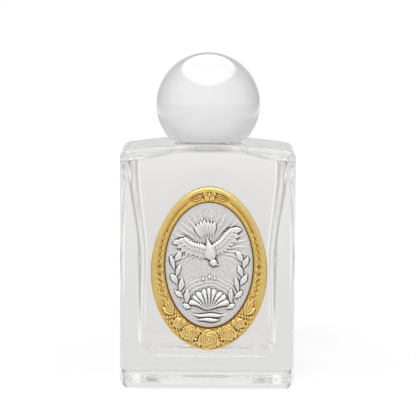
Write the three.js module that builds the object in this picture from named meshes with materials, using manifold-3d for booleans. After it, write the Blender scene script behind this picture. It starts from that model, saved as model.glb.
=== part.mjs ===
// Flat glass holy water bottle with a ball-shaped screw cap and a framed oval relief on its front.
// Millimetres. +Z is up, +X is to the right, and the front with the relief faces -Y.

import * as THREE from 'three';
import { mergeVertices } from 'three/addons/utils/BufferGeometryUtils.js';
import Module from 'manifold-3d';

const wasm = await Module();
wasm.setup();

// Clearances between pieces: around a turning or nested piece, and between two faces that meet
const runningGap = 0.3;
const seatGap = 0.3;

// Glass body
const bodyWidth = 50;
const bodyDepth = 30;
const bodyCornerRadius = 2.5;
const footRadius = 3.1;
const shoulderHeight = 71;
const shoulderDrop = 2.1;
const shoulderEdgeRadius = 1.7;

// Shallow recess under the base, which leaves a flat rim to stand on
const puntWidth = 29;
const puntLength = 14;
const puntCornerRadius = 5;
const puntDepth = 0.9;
const puntEdge = 0.8;

// Space inside the body
const floorThickness = 9;
const floorCrown = 1;
const sideWallAtFloor = 4.9;
const sideWallAtTop = 2;
const faceWallAtFloor = 3.7;
const faceWallAtTop = 2.9;
const wallCurveDrop = 6;
const wallCurveLength = 27;
const cavityCornerRadius = 2.6;
const cavityLeastRadius = 0.8;
const cavityFootRadius = 5;
const cavityTopRadius = 1;
const ceilingThickness = 1.2;
const ceilingDrop = 2.5;
const ceilingSideMargin = 5;

// Neck
const neckHeight = 11;
const neckDiameter = 13.8;
const neckRootRadius = 0.25;
const boreDiameter = 8.6;
const boreFlareRadius = 2.9;
const lipOuterRadius = 0.7;
const lipInnerRadius = 0.9;

// Thread, shared by the neck and the cap's sleeve
const threadPitch = 3.2;
const threadTurns = 1.5;
const threadDepth = 0.9;
const threadRootWidth = 1.6;
const threadCrestWidth = 0.7;
const threadBelowLip = 3.3;
const threadSink = 0.3;

// Ball cap
const ballDiameter = 30;
const ballRimWall = 1.15;
const ballRimChamfer = 0.5;
const ballCoreWall = 4.2;
const ballCoreLedge = 2.5;

// Sleeve inside the ball, and the liner inside the sleeve
const sleeveWall = 1.1;
const sleeveDeck = 1.2;
const sleeveRecess = 0.2;
const sleeveMouthChamfer = 0.3;
const sleeveRibs = 24;
const sleeveRibHeight = 0.4;
const linerThickness = 1;
const linerChamfer = 0.15;

// Plaque on the front. The opening is an oval. The frame's outer edge is widest below its middle, by the
// sag, and a little pointed at both ends, and it becomes an oval at a share of the way to the opening.
const plaqueSideOffset = 0.5;
const frameCentreHeight = 35.85;
const frameWidth = 33.25;
const frameHeight = 47.1;
const frameSag = 1.2;
const framePoint = 0.045;
const ovalFrom = 0.75;
const frameDepth = 2;
const frameLipEdge = 0.3;
const openingWidth = 24.85;
const openingHeight = 35.8;
const openingRise = 1.1;
const openingMargin = 0.5;
const rebateWidth = 0.9;
const padThickness = 0.4;
const padInset = 1.6;
const backingThickness = 0.5;
const reliefPlateThickness = 0.5;
const reliefPlateCrown = 0.25;

// Ornament of the frame, which stands on its face
const roseHeight = 0.65;
const leafHeight = 0.45;
const fanLeafWidth = 1.3;
const crownLeafWidth = 1.5;
const crownRoseRadius = 1.6;
const ornamentSink = 0.2;

// Roses of the garland, from the middle of the frame's foot outwards: turn along the frame in degrees
// from straight down, place across it from the outer edge, 0, to the opening, 1, and radius
const garland = [
  { turn: 0, across: 0.49, radius: 2.75 },
  { turn: 22.5, across: 0.55, radius: 2.15 },
  { turn: 37, across: 0.56, radius: 1.5 },
];

// Relief: the height of its fullest form. Its places and widths are shares of the opening.
const reliefHeight = 0.85;

// Rings of points

// A rounded rectangle takes these steps along each short side, each long side and each corner, and a
// circle takes as many in all, so that the two join one to one
const sideSteps = 4;
const faceSteps = 8;
const cornerSteps = 4;
const ringSteps = 2 * sideSteps + 2 * faceSteps + 4 * cornerSteps;
const leastRadius = bodyCornerRadius / 25;

function rectangleRing(halfX, halfY, radius, heightAt) {
  const signs = [[1, 1], [-1, 1], [-1, -1], [1, -1]];
  const onCorner = (quarter, angle) => {
    const [signX, signY] = signs[quarter % 4];
    const x = signX * (halfX - radius) + radius * Math.cos(angle);
    const y = signY * (halfY - radius) + radius * Math.sin(angle);
    return new THREE.Vector3(x, y, 0);
  };
  const ring = [];
  for (let quarter = 0; quarter < 4; quarter += 1) {
    for (let step = 0; step <= cornerSteps; step += 1) {
      ring.push(onCorner(quarter, ((quarter + step / cornerSteps) * Math.PI) / 2));
    }
    const end = ring.at(-1);
    const next = onCorner(quarter + 1, ((quarter + 1) * Math.PI) / 2);
    const straightSteps = quarter % 2 === 0 ? faceSteps : sideSteps;
    for (let step = 1; step < straightSteps; step += 1) {
      ring.push(end.clone().lerp(next, step / straightSteps));
    }
  }
  ring.forEach((point) => point.setZ(heightAt(point.x)));
  return ring;
}

function circleRing(radius, heightAt, steps = ringSteps, firstAngle = (sideSteps * Math.PI) / steps) {
  return Array.from({ length: steps }, (_, step) => {
    const angle = firstAngle + (2 * Math.PI * step) / steps;
    const x = radius * Math.cos(angle);
    return new THREE.Vector3(x, radius * Math.sin(angle), heightAt(x));
  });
}

function ringsBetween(first, last, count, heightAt) {
  return Array.from({ length: count }, (_, step) => {
    const share = (step + 1) / (count + 1);
    return first.map((point, index) => {
      const between = point.clone().lerp(last[index], share);
      return between.setZ(heightAt(between.x));
    });
  });
}

// The steps of a quarter circle, each with its sine and cosine
function quarterSteps(count) {
  return Array.from({ length: count + 1 }, (_, step) => {
    const angle = (step / count) * (Math.PI / 2);
    return { sin: Math.sin(angle), cos: Math.cos(angle) };
  });
}

function middleOf(ring) {
  return ring.reduce((sum, point) => sum.add(point), new THREE.Vector3()).divideScalar(ring.length);
}

// Surfaces

function enclosedVolume(points, indices) {
  const cross = new THREE.Vector3();
  let volume = 0;
  for (let i = 0; i < indices.length; i += 3) {
    cross.crossVectors(points[indices[i]], points[indices[i + 1]]);
    volume += cross.dot(points[indices[i + 2]]) / 6;
  }
  return volume;
}

// Joins rings of equal count into one closed surface. Two poles close its ends, and without poles the
// last ring joins the first one again.
function skin(rings, firstPole, lastPole) {
  const count = rings[0].length;
  const points = rings.flat();
  const indices = [];
  const bands = firstPole ? rings.length - 1 : rings.length;
  for (let band = 0; band < bands; band += 1) {
    const here = band * count;
    const next = ((band + 1) % rings.length) * count;
    for (let i = 0; i < count; i += 1) {
      const j = (i + 1) % count;
      indices.push(here + i, here + j, next + j, here + i, next + j, next + i);
    }
  }
  if (firstPole) {
    const first = points.push(firstPole) - 1;
    const last = points.push(lastPole) - 1;
    const lastRing = (rings.length - 1) * count;
    for (let i = 0; i < count; i += 1) {
      const j = (i + 1) % count;
      indices.push(first, j, i, lastRing + i, lastRing + j, last);
    }
  }
  if (enclosedVolume(points, indices) < 0) {
    indices.reverse();
  }
  const geometry = new THREE.BufferGeometry().setFromPoints(points);
  geometry.setIndex(indices);
  return geometry;
}

function closedAtEnds(rings) {
  return skin(rings, middleOf(rings[0]), middleOf(rings.at(-1)));
}

function toSolid(geometry) {
  const bare = geometry.clone();
  bare.deleteAttribute('normal');
  bare.deleteAttribute('uv');
  const merged = mergeVertices(bare, 1e-5);
  return new wasm.Manifold(new wasm.Mesh({
    numProp: 3,
    vertProperties: Float32Array.from(merged.attributes.position.array),
    triVerts: Uint32Array.from(merged.index.array),
  }));
}

function join(geometries) {
  const whole = geometries.map(toSolid).reduce((sum, solid) => sum.add(solid));
  const mesh = whole.getMesh();
  const geometry = new THREE.BufferGeometry();
  geometry.setAttribute('position', new THREE.BufferAttribute(mesh.vertProperties, 3));
  geometry.setIndex(new THREE.BufferAttribute(mesh.triVerts, 1));
  return geometry;
}

function part(name, geometry, look) {
  geometry.computeVertexNormals();
  const mesh = new THREE.Mesh(geometry, new THREE.MeshStandardMaterial(look));
  mesh.name = name;
  return mesh;
}

// Glass bottle

const halfWidth = bodyWidth / 2;
const halfDepth = bodyDepth / 2;
const neckRadius = neckDiameter / 2;
const boreRadius = boreDiameter / 2;
const flareRadius = boreRadius + boreFlareRadius;
const lipHeight = shoulderHeight + neckHeight;
const floorHeight = floorThickness + floorCrown;
const crownRadius = (halfWidth ** 2 + shoulderDrop ** 2) / (2 * shoulderDrop);

// The shoulder is arched across the width only
function shoulderAt(x) {
  return shoulderHeight - (crownRadius - Math.sqrt(crownRadius ** 2 - x ** 2));
}

// The ceiling inside falls in an S-curve from the neck to the sides
function ceilingAt(x) {
  const share = THREE.MathUtils.smoothstep(Math.abs(x), flareRadius, halfWidth - ceilingSideMargin);
  return shoulderHeight - ceilingThickness - ceilingDrop * share;
}

function outerRing(inset, heightAt) {
  const radius = Math.max(bodyCornerRadius - inset, leastRadius);
  return rectangleRing(halfWidth - inset, halfDepth - inset, radius, heightAt);
}

function baseRings() {
  const puntRing = (inset, height) => rectangleRing(
    puntWidth / 2 - inset,
    puntLength / 2 - inset,
    puntCornerRadius - inset,
    () => height,
  );
  const foot = quarterSteps(4).map(({ sin, cos }) => outerRing(
    footRadius * (1 - sin),
    () => footRadius * (1 - cos),
  ));
  return [puntRing(puntCornerRadius / 2, puntDepth), puntRing(puntEdge, puntDepth), puntRing(0, 0), ...foot];
}

function shoulderRings() {
  const edge = quarterSteps(4).map(({ sin, cos }) => outerRing(
    shoulderEdgeRadius * (1 - cos),
    (x) => shoulderAt(x) - shoulderEdgeRadius * (1 - sin),
  ));
  const root = circleRing(neckRadius + neckRootRadius, shoulderAt);
  return [...edge, ...ringsBetween(edge.at(-1), root, 3, shoulderAt), root];
}

function neckRings() {
  const foot = circleRing(neckRadius, (x) => shoulderAt(x) + neckRootRadius);
  const lipOuter = quarterSteps(2).map(({ sin, cos }) => circleRing(
    neckRadius - lipOuterRadius * (1 - cos),
    () => lipHeight - lipOuterRadius * (1 - sin),
  ));
  const lipInner = quarterSteps(2).map(({ sin, cos }) => circleRing(
    boreRadius + lipInnerRadius * (1 - sin),
    () => lipHeight - lipInnerRadius * (1 - cos),
  ));
  const flare = quarterSteps(3).map(({ sin, cos }) => circleRing(
    boreRadius + boreFlareRadius * (1 - cos),
    (x) => ceilingAt(x) + boreFlareRadius * (1 - sin),
  ));
  return [foot, ...lipOuter, ...lipInner, ...flare];
}

// The walls thicken below the shoulder, from share 0 to share 1, and the floor is crowned
function cavityRings(ceilingStart) {
  const ringAt = (share, inset, heightAt) => rectangleRing(
    halfWidth - THREE.MathUtils.lerp(sideWallAtTop, sideWallAtFloor, share) - inset,
    halfDepth - THREE.MathUtils.lerp(faceWallAtTop, faceWallAtFloor, share) - inset,
    Math.max(cavityCornerRadius - inset, cavityLeastRadius),
    heightAt,
  );
  const top = quarterSteps(3).map(({ sin, cos }) => (
    ringAt(0, cavityTopRadius * (1 - sin), (x) => ceilingAt(x) - cavityTopRadius * (1 - cos))
  ));
  const curveSteps = 3;
  const walls = Array.from({ length: curveSteps + 1 }, (_, step) => {
    const share = step / curveSteps;
    const height = shoulderHeight - wallCurveDrop - wallCurveLength * share;
    return ringAt(THREE.MathUtils.smoothstep(share, 0, 1), 0, () => height);
  });
  const foot = quarterSteps(4).map(({ sin, cos }) => (
    ringAt(1, cavityFootRadius * (1 - cos), () => floorThickness + cavityFootRadius * (1 - sin))
  ));
  const middle = new THREE.Vector3(0, 0, floorHeight);
  const floor = [1 / 3, 2 / 3].map((share) => foot.at(-1).map((point) => {
    const between = point.clone().lerp(middle, share);
    return between.setZ(floorThickness + floorCrown * (1 - (1 - share) ** 2));
  }));
  return [...ringsBetween(ceilingStart, top[0], 3, ceilingAt), ...top, ...walls, ...foot, ...floor];
}

// One ridge of a right-handed thread, which sinks into its wall at both ends
function threadRidge(wallRadius, crestRadius, startHeight) {
  const stepsPerTurn = 16;
  const steps = Math.round(threadTurns * stepsPerTurn);
  const fadeSteps = 3;
  const into = Math.sign(wallRadius - crestRadius) * threadSink;
  const rings = Array.from({ length: steps + 1 }, (_, step) => {
    const angle = (2 * Math.PI * threadTurns * step) / steps;
    const height = startHeight + (threadPitch * threadTurns * step) / steps;
    const share = Math.min(1, (step + 0.5) / fadeSteps, (steps - step + 0.5) / fadeSteps);
    const crest = THREE.MathUtils.lerp(wallRadius + into / 2, crestRadius, share);
    const corners = [
      [wallRadius + into, -threadRootWidth / 2],
      [crest, -threadCrestWidth / 2],
      [crest, threadCrestWidth / 2],
      [wallRadius + into, threadRootWidth / 2],
    ];
    return corners.map(([radius, rise]) => new THREE.Vector3(
      radius * Math.cos(angle),
      radius * Math.sin(angle),
      height + rise,
    ));
  });
  return closedAtEnds(rings);
}

const neckThreadStart = lipHeight - threadBelowLip - threadPitch * threadTurns;

function glassBottle() {
  const neck = neckRings();
  const rings = [...baseRings(), ...shoulderRings(), ...neck, ...cavityRings(neck.at(-1))];
  const shell = skin(
    rings,
    new THREE.Vector3(0, 0, puntDepth),
    new THREE.Vector3(0, 0, floorHeight),
  );
  return join([shell, threadRidge(neckRadius, neckRadius + threadDepth, neckThreadStart)]);
}

// Cap, with heights measured from the ball's flat underside

const capHeight = shoulderHeight + seatGap;
const sleeveBoreRadius = neckRadius + threadDepth + runningGap;
const sleeveCrestRadius = neckRadius + runningGap;
const sleeveRadius = sleeveBoreRadius + sleeveWall;
const ribRadius = sleeveRadius + sleeveRibHeight;
const socketRadius = ribRadius + runningGap;
const linerBottom = lipHeight + seatGap - capHeight;
const linerTop = linerBottom + linerThickness;
const deckBottom = linerTop + seatGap;
const deckTop = deckBottom + sleeveDeck;
const socketTop = deckTop + seatGap;
const ballRadius = ballDiameter / 2;
const ballRimRadius = socketRadius + ballRimWall;
const ballCentre = Math.sqrt(ballRadius ** 2 - ballRimRadius ** 2);

function revolve(profile, steps) {
  const points = profile.map(([radius, height]) => new THREE.Vector2(radius, height));
  return new THREE.LatheGeometry(points, steps).rotateX(Math.PI / 2);
}

// The ball is cut flat below, bored for the sleeve up to a ledge, and cored out under a dome
function ballKnob() {
  const coreRadius = socketRadius - ballCoreLedge;
  const coreTop = ballCentre + ballRadius - ballCoreWall;
  const core = quarterSteps(4).map(({ sin, cos }) => [
    coreRadius * sin,
    socketTop + (coreTop - socketTop) * cos,
  ]);
  const chamfer = Math.min(ballRimChamfer, ballRimWall * 0.6);
  const firstAngle = Math.asin((chamfer - ballCentre) / ballRadius);
  const arc = (from, to, steps) => Array.from({ length: steps }, (_, step) => {
    const angle = THREE.MathUtils.lerp(from, to, step / steps);
    return [ballRadius * Math.cos(angle), ballCentre + ballRadius * Math.sin(angle)];
  });
  const profile = [
    ...core,
    [socketRadius, socketTop],
    [socketRadius, 0],
    [ballRimRadius - chamfer, 0],
    ...arc(firstAngle, 0, 5),
    ...arc(0, Math.PI / 2, 9),
    [0, ballCentre + ballRadius],
  ];
  return revolve(profile, 36);
}

// Every second step of the sleeve's outside stands out as a rib, which bites into the socket
function capInsert() {
  const stepsPerRib = 2;
  const steps = sleeveRibs * stepsPerRib;
  const inside = (radius, height) => circleRing(radius, () => height, steps, 0);
  const ribbed = (height) => inside(ribRadius, height).map((point, index) => {
    const radius = index % stepsPerRib === 0 ? ribRadius : sleeveRadius;
    return point.set((point.x * radius) / ribRadius, (point.y * radius) / ribRadius, height);
  });
  const rings = [
    inside(sleeveBoreRadius, deckBottom),
    inside(sleeveBoreRadius, sleeveRecess + sleeveMouthChamfer),
    inside(sleeveBoreRadius + sleeveMouthChamfer, sleeveRecess),
    ribbed(sleeveRecess),
    ribbed(deckTop - sleeveRibHeight),
    inside(sleeveRadius, deckTop),
  ];
  const shell = skin(
    rings,
    new THREE.Vector3(0, 0, deckBottom),
    new THREE.Vector3(0, 0, deckTop),
  );
  const threadStart = neckThreadStart - threadPitch / 2 - capHeight;
  return join([shell, threadRidge(sleeveBoreRadius, sleeveCrestRadius, threadStart)]);
}

function linerDisc() {
  const radius = sleeveBoreRadius - runningGap;
  const profile = [
    [0, linerBottom],
    [radius - linerChamfer, linerBottom],
    [radius, linerBottom + linerChamfer],
    [radius, linerTop - linerChamfer],
    [radius - linerChamfer, linerTop],
    [0, linerTop],
  ];
  return revolve(profile, 32);
}

// Plaque: u runs to the right and v up from the frame's centre, and w out of the glass

const backOfFrame = padThickness;
const crestOfFrame = backOfFrame + frameDepth;
const topOfBacking = backOfFrame + backingThickness;
const topOfPlate = topOfBacking + reliefPlateThickness;
const faceSurface = crestOfFrame - frameDepth * 0.18;
const reliefSurface = topOfPlate + reliefPlateCrown * 0.6;
const halfFrame = [frameWidth / 2, frameHeight / 2];
const halfOpening = [openingWidth / 2, openingHeight / 2];

function plaquePoint(u, v, w) {
  return new THREE.Vector3(u, -w, v);
}

// A point at a distance outside the opening
function onOval(turn, grow, w) {
  const angle = THREE.MathUtils.degToRad(turn);
  const u = (halfOpening[0] + grow) * Math.cos(angle);
  const v = (halfOpening[1] + grow) * Math.sin(angle);
  return plaquePoint(u, v + openingRise, w);
}

function ovalRing(grow, w) {
  const steps = 48;
  return Array.from({ length: steps }, (_, step) => onOval((360 * step) / steps, grow, w));
}

// A place on the frame: turn goes round anticlockwise from the right in degrees, and across goes from
// the outer edge, 0, to the opening, 1
function onFrame(turn, across) {
  const angle = THREE.MathUtils.degToRad(turn);
  const halfU = THREE.MathUtils.lerp(halfFrame[0], halfOpening[0], across);
  const halfV = THREE.MathUtils.lerp(halfFrame[1], halfOpening[1], across);
  const outward = Math.max(0, 1 - across / ovalFrom);
  const pointed = (value) => Math.sign(value) * Math.abs(value) ** (1 + framePoint * outward);
  const sag = frameSag * outward * Math.cos(angle) ** 2;
  return [halfU * pointed(Math.cos(angle)), halfV * pointed(Math.sin(angle)) + openingRise * across - sag];
}

// The frame's section has a broad rolled edge, a fine groove and an inner bead in front, and the rebate for
// the relief behind, which keeps its own width round the opening
function frameRing() {
  const face = [
    [0, backOfFrame],
    [0, crestOfFrame - frameDepth * 0.45],
    [0.05, crestOfFrame - frameDepth * 0.18],
    [0.15, crestOfFrame - frameDepth * 0.03],
    [0.28, crestOfFrame],
    [0.43, crestOfFrame - frameDepth * 0.07],
    [0.56, crestOfFrame - frameDepth * 0.22],
    [0.64, crestOfFrame - frameDepth * 0.25],
    [0.72, crestOfFrame - frameDepth * 0.12],
    [0.82, crestOfFrame - frameDepth * 0.09],
    [0.92, crestOfFrame - frameDepth * 0.2],
    [1, topOfPlate + frameLipEdge],
    [1, topOfPlate],
  ];
  const steps = 52;
  const rings = Array.from({ length: steps }, (_, step) => {
    const turn = (360 * step) / steps;
    const front = face.map(([across, w]) => plaquePoint(...onFrame(turn, across), w));
    const rebate = [topOfPlate, backOfFrame].map((w) => onOval(turn, rebateWidth, w));
    return [...front, ...rebate];
  });
  return skin(rings);
}

// A raised form along a line, such as a leaf, feather or ray: two curved sides, a soft ridge and a root
// that is sunk into the surface. fullest is the share of its length where it is widest.
function leaf({ from, to, width, height, surface, bend = 0, fullest = 0.5, steps = 3 }) {
  const along = new THREE.Vector2(to[0] - from[0], to[1] - from[1]);
  const side = new THREE.Vector2(-along.y, along.x).normalize();
  const bow = side.clone().multiplyScalar(bend * along.length());
  const rings = Array.from({ length: steps + 1 }, (_, step) => {
    const share = step / steps;
    const swell = Math.max(Math.sin(Math.PI * share ** (Math.log(0.5) / Math.log(fullest))), 0.12);
    const place = (across, w) => {
      const bowed = 4 * share * (1 - share);
      const u = from[0] + along.x * share + bow.x * bowed + side.x * across * swell;
      const v = from[1] + along.y * share + bow.y * bowed + side.y * across * swell;
      return plaquePoint(u, v, surface + w);
    };
    const half = width / 2;
    return [
      place(-half, -ornamentSink),
      place(-half, 0),
      place(0, height * Math.sqrt(swell)),
      place(half, 0),
      place(half, -ornamentSink),
    ];
  });
  return closedAtEnds(rings);
}

// A full-blown rose: two rounds of lobed petals about a bud
function rose(centre, radius, height, surface) {
  const petals = 5;
  const steps = petals * 3;
  const rounds = [
    { size: 1, lobe: 0.07, turned: 0, w: -ornamentSink },
    { size: 1, lobe: 0.07, turned: 0, w: 0.35 * height },
    { size: 0.84, lobe: 0.06, turned: 0, w: 0.7 * height },
    { size: 0.62, lobe: 0.05, turned: Math.PI, w: 0.5 * height },
    { size: 0.52, lobe: 0.08, turned: Math.PI, w: 0.9 * height },
    { size: 0.3, lobe: 0.05, turned: Math.PI, w: 0.7 * height },
    { size: 0.2, lobe: 0, turned: 0, w: height },
  ];
  return closedAtEnds(rounds.map(({ size, lobe, turned, w }) => (
    Array.from({ length: steps }, (_, step) => {
      const angle = (2 * Math.PI * step) / steps;
      const reach = radius * size * (1 + lobe * Math.cos(petals * angle + turned));
      return plaquePoint(
        centre[0] + reach * Math.cos(angle),
        centre[1] + reach * Math.sin(angle),
        surface + w,
      );
    })
  )));
}

function frameLeaf(from, to, width) {
  return leaf({ from: onFrame(...from), to: onFrame(...to), width, height: leafHeight, surface: faceSurface });
}

// Roses on both sides of the foot, with a small leaf between each two that lies at the opening, and a fan
// of leaves that opens upwards after the last rose
function roseGarland() {
  const down = -90;
  const fan = { root: [9, 0.62], tips: [[22, 0.8], [24, 0.56], [21, 0.34]] };
  const forms = [];
  for (const side of [-1, 1]) {
    const place = (turn, across) => [down + side * turn, across];
    garland.forEach(({ turn, across, radius }, index) => {
      if (index > 0) {
        const before = garland[index - 1].turn;
        const middle = (turn + before) / 2;
        forms.push(frameLeaf(place(middle + 2, 0.93), place(middle - 2, 0.3), radius));
      }
      if (index > 0 || side > 0) {
        forms.push(rose(onFrame(...place(turn, across)), radius, roseHeight, faceSurface));
      }
    });
    const last = garland.at(-1).turn;
    for (const [turn, across] of fan.tips) {
      forms.push(frameLeaf(place(last + fan.root[0], fan.root[1]), place(last + turn, across), fanLeafWidth));
    }
  }
  return forms;
}

// The small rose at the top of the frame, between two leaves
function crownSpray() {
  const up = 90;
  const across = 0.5;
  const reach = { root: 6, tip: 22 };
  const leaves = [-1, 1].map((side) => (
    frameLeaf([up + side * reach.root, across], [up + side * reach.tip, across], crownLeafWidth)
  ));
  return [rose(onFrame(up, across), crownRoseRadius, roseHeight, faceSurface), ...leaves];
}

function plaqueFrame() {
  return join([frameRing(), ...roseGarland(), ...crownSpray()]);
}

// An oval that fits the frame's rebate, whose face may rise to a crown inside the opening
function rebatePlate(bottom, top, crown) {
  const edge = rebateWidth - runningGap;
  const rings = [ovalRing(edge, bottom), ovalRing(edge, top)];
  if (crown > 0) {
    rings.push(ovalRing(-openingMargin, top), ovalRing(-openingWidth / 6, top + crown * 0.75));
  }
  return skin(rings, plaquePoint(0, openingRise, bottom), plaquePoint(0, openingRise, top + crown));
}

// Relief: a dove comes down over drops of water, a scallop shell and waves, between two leafy sprigs.
// Places are shares of the opening's half width and half height, and widths of its half width.

const doveShoulder = [0.08, 0.3];
const doveWrist = [0.5, 0.47];
const wingArmWidth = 0.24;
const wingFeathers = 9;
const wingFeatherWidth = 0.15;
const wingTipLength = 0.4;
const wingRootLength = 0.34;
const doveBody = { from: [0, 0.44], to: [0, 0.03], width: 0.36 };
const doveHead = { from: [0, 0.13], to: [0.015, -0.06], width: 0.21 };
const doveTail = { root: 0.38, tip: 0.72, feathers: 5, gap: 0.1, width: 0.14 };
const shell = { hinge: [0, -0.74], radius: 0.5, ribs: 9, fan: 148 };
const drops = { places: [[0, -0.13], [-0.13, -0.17], [0.13, -0.17]], length: 0.09, width: 0.075 };
const sprig = { leaves: 8, firstTurn: -60, lastTurn: 4, stem: 0.82, outer: 0.93, inner: 0.68, width: 0.13 };
const waves = [
  { v: -0.82, half: 0.42 },
  { v: -0.9, half: 0.3 },
];

const reliefUnit = [halfOpening[0] - openingMargin, halfOpening[1] - openingMargin];

function onRelief([u, v]) {
  return [u * reliefUnit[0], v * reliefUnit[1] + openingRise];
}

function reliefLeaf(from, to, width, height, options = {}) {
  return leaf({
    from: onRelief(from),
    to: onRelief(to),
    width: width * reliefUnit[0],
    height: height * reliefHeight,
    surface: reliefSurface,
    ...options,
  });
}

function mirrored([u, v], side) {
  return [u * side, v];
}

// Each wing has an arm and its feathers, whose roots run along the arm and whose tips run round the edge
function doveWing(side) {
  const arm = reliefLeaf(mirrored(doveShoulder, side), mirrored(doveWrist, side), wingArmWidth, 1, {
    bend: side * 0.12,
  });
  const feathers = Array.from({ length: wingFeathers }, (_, feather) => {
    const share = feather / (wingFeathers - 1);
    const root = [
      THREE.MathUtils.lerp(doveWrist[0] - 0.03, doveShoulder[0] + 0.1, share),
      THREE.MathUtils.lerp(doveWrist[1] - 0.01, doveShoulder[1] + 0.02, share),
    ];
    const angle = THREE.MathUtils.degToRad(THREE.MathUtils.lerp(-8, -88, share ** 0.8));
    const reach = THREE.MathUtils.lerp(wingTipLength, wingRootLength, share);
    const tip = [root[0] + reach * Math.cos(angle), root[1] + reach * 0.78 * Math.sin(angle)];
    return reliefLeaf(mirrored(root, side), mirrored(tip, side), wingFeatherWidth, 0.7, {
      bend: -side * 0.06,
      fullest: 0.62,
    });
  });
  return [arm, ...feathers];
}

function doveForms() {
  const forms = [
    reliefLeaf(doveBody.from, doveBody.to, doveBody.width, 1.15, { fullest: 0.62, steps: 4 }),
    reliefLeaf(doveHead.from, doveHead.to, doveHead.width, 1, { fullest: 0.45, steps: 4 }),
  ];
  for (let feather = 0; feather < doveTail.feathers; feather += 1) {
    const place = feather - (doveTail.feathers - 1) / 2;
    const root = [place * doveTail.gap * 0.3, doveTail.root];
    const tip = [place * doveTail.gap, doveTail.tip - Math.abs(place) * 0.02];
    forms.push(reliefLeaf(root, tip, doveTail.width, 0.6, { fullest: 0.72 }));
  }
  return [...forms, ...doveWing(1), ...doveWing(-1)];
}

// The scallop shell is swept through its fan of ribs, with a groove between each two
function shellForm() {
  const { ribs, fan } = shell;
  const hinge = onRelief(shell.hinge);
  const radius = shell.radius * reliefUnit[0];
  const rings = Array.from({ length: 2 * ribs + 1 }, (_, step) => {
    const angle = THREE.MathUtils.degToRad(90 + fan * (step / (2 * ribs) - 0.5));
    const onRib = step % 2 === 1;
    const height = reliefHeight * (onRib ? 0.95 : 0.4);
    const edge = radius * (onRib ? 1.04 : 0.96);
    const place = (reach, w) => plaquePoint(
      hinge[0] + reach * Math.cos(angle),
      hinge[1] + reach * Math.sin(angle),
      reliefSurface + w,
    );
    return [
      place(radius * 0.08, -ornamentSink),
      place(radius * 0.08, reliefHeight * 0.5),
      place(radius * 0.45, height),
      place(radius * 0.82, height),
      place(edge, height * 0.4),
      place(edge, -ornamentSink),
    ];
  });
  return closedAtEnds(rings);
}

function dropForms() {
  return drops.places.map(([u, v]) => (
    reliefLeaf([u, v], [u, v - drops.length], drops.width, 0.6, { fullest: 0.64 })
  ));
}

// Each sprig climbs along the opening's edge, with leaves to its left and right in turn
function sprigForms() {
  const { leaves, firstTurn, lastTurn, stem, outer, inner, width } = sprig;
  const leafTurn = THREE.MathUtils.degToRad(13);
  const forms = [];
  for (const side of [-1, 1]) {
    for (let step = 0; step < leaves; step += 1) {
      const turn = THREE.MathUtils.degToRad(THREE.MathUtils.lerp(firstTurn, lastTurn, step / (leaves - 1)));
      const reach = step % 2 === 0 ? outer : inner;
      const root = [stem * Math.cos(turn), stem * Math.sin(turn)];
      const tip = [reach * Math.cos(turn + leafTurn), reach * Math.sin(turn + leafTurn) + 0.03];
      forms.push(reliefLeaf(mirrored(root, side), mirrored(tip, side), width, 0.55));
    }
  }
  return forms;
}

function waveForms() {
  const waveWidth = 0.09;
  return waves.map(({ v, half }) => reliefLeaf([-half, v], [half, v], waveWidth, 0.45, { bend: -0.03 }));
}

function reliefPlate() {
  const plate = rebatePlate(topOfBacking, topOfPlate, reliefPlateCrown);
  return join([plate, ...doveForms(), ...dropForms(), shellForm(), ...sprigForms(), ...waveForms()]);
}

function plaqueBacking() {
  return rebatePlate(backOfFrame, topOfBacking, 0);
}

// The pad covers the opening and reaches under the frame
function adhesivePad() {
  const reach = (frameWidth - openingWidth) / 2 - padInset;
  return closedAtEnds([ovalRing(reach, 0), ovalRing(reach, padThickness)]);
}

// Assembly

const clearGlass = { color: 0xe9eef0, roughness: 0.05, metalness: 0, transparent: true, opacity: 0.35 };
const whiteGloss = { color: 0xf6f6f6, roughness: 0.15, metalness: 0 };
const whitePlastic = { color: 0xeeeeec, roughness: 0.45, metalness: 0 };
const foam = { color: 0xf2f1ec, roughness: 0.9, metalness: 0 };
const gilt = { color: 0xd9b25c, roughness: 0.35, metalness: 0.9 };
const silver = { color: 0xd2d2d0, roughness: 0.4, metalness: 0.9 };
const board = { color: 0xe4e0d6, roughness: 0.8, metalness: 0 };

const cap = new THREE.Group();
cap.position.set(0, 0, capHeight);
cap.add(
  part('ball_knob', ballKnob(), whiteGloss),
  part('cap_insert', capInsert(), whitePlastic),
  part('liner_disc', linerDisc(), foam),
);

const plaque = new THREE.Group();
plaque.position.set(plaqueSideOffset, -halfDepth, frameCentreHeight);
plaque.add(
  part('plaque_frame', plaqueFrame(), gilt),
  part('relief_plate', reliefPlate(), silver),
  part('plaque_backing', plaqueBacking(), board),
  part('adhesive_pad', adhesivePad(), foam),
);

// The origin is on the ground, in the middle of the box round the whole object: the plaque reaches out
// in front, and the ball or the body behind
const frontReach = halfDepth + Math.max(crestOfFrame, faceSurface + roseHeight);
const backReach = Math.max(halfDepth, ballRadius);
const bottle = new THREE.Group();
bottle.position.set(0, (frontReach - backReach) / 2, 0);
bottle.add(part('glass_bottle', glassBottle(), clearGlass), cap, plaque);

export default bottle;
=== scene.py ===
"""A flat glass holy water bottle with a white ball cap and a gilt oval plaque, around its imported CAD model.

Shapes and the camera's place are worked out in millimetres. Materials, floor and lights are in metres.
"""

import math

import bpy
import numpy as np
from mathutils import Euler, Matrix, Vector


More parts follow.
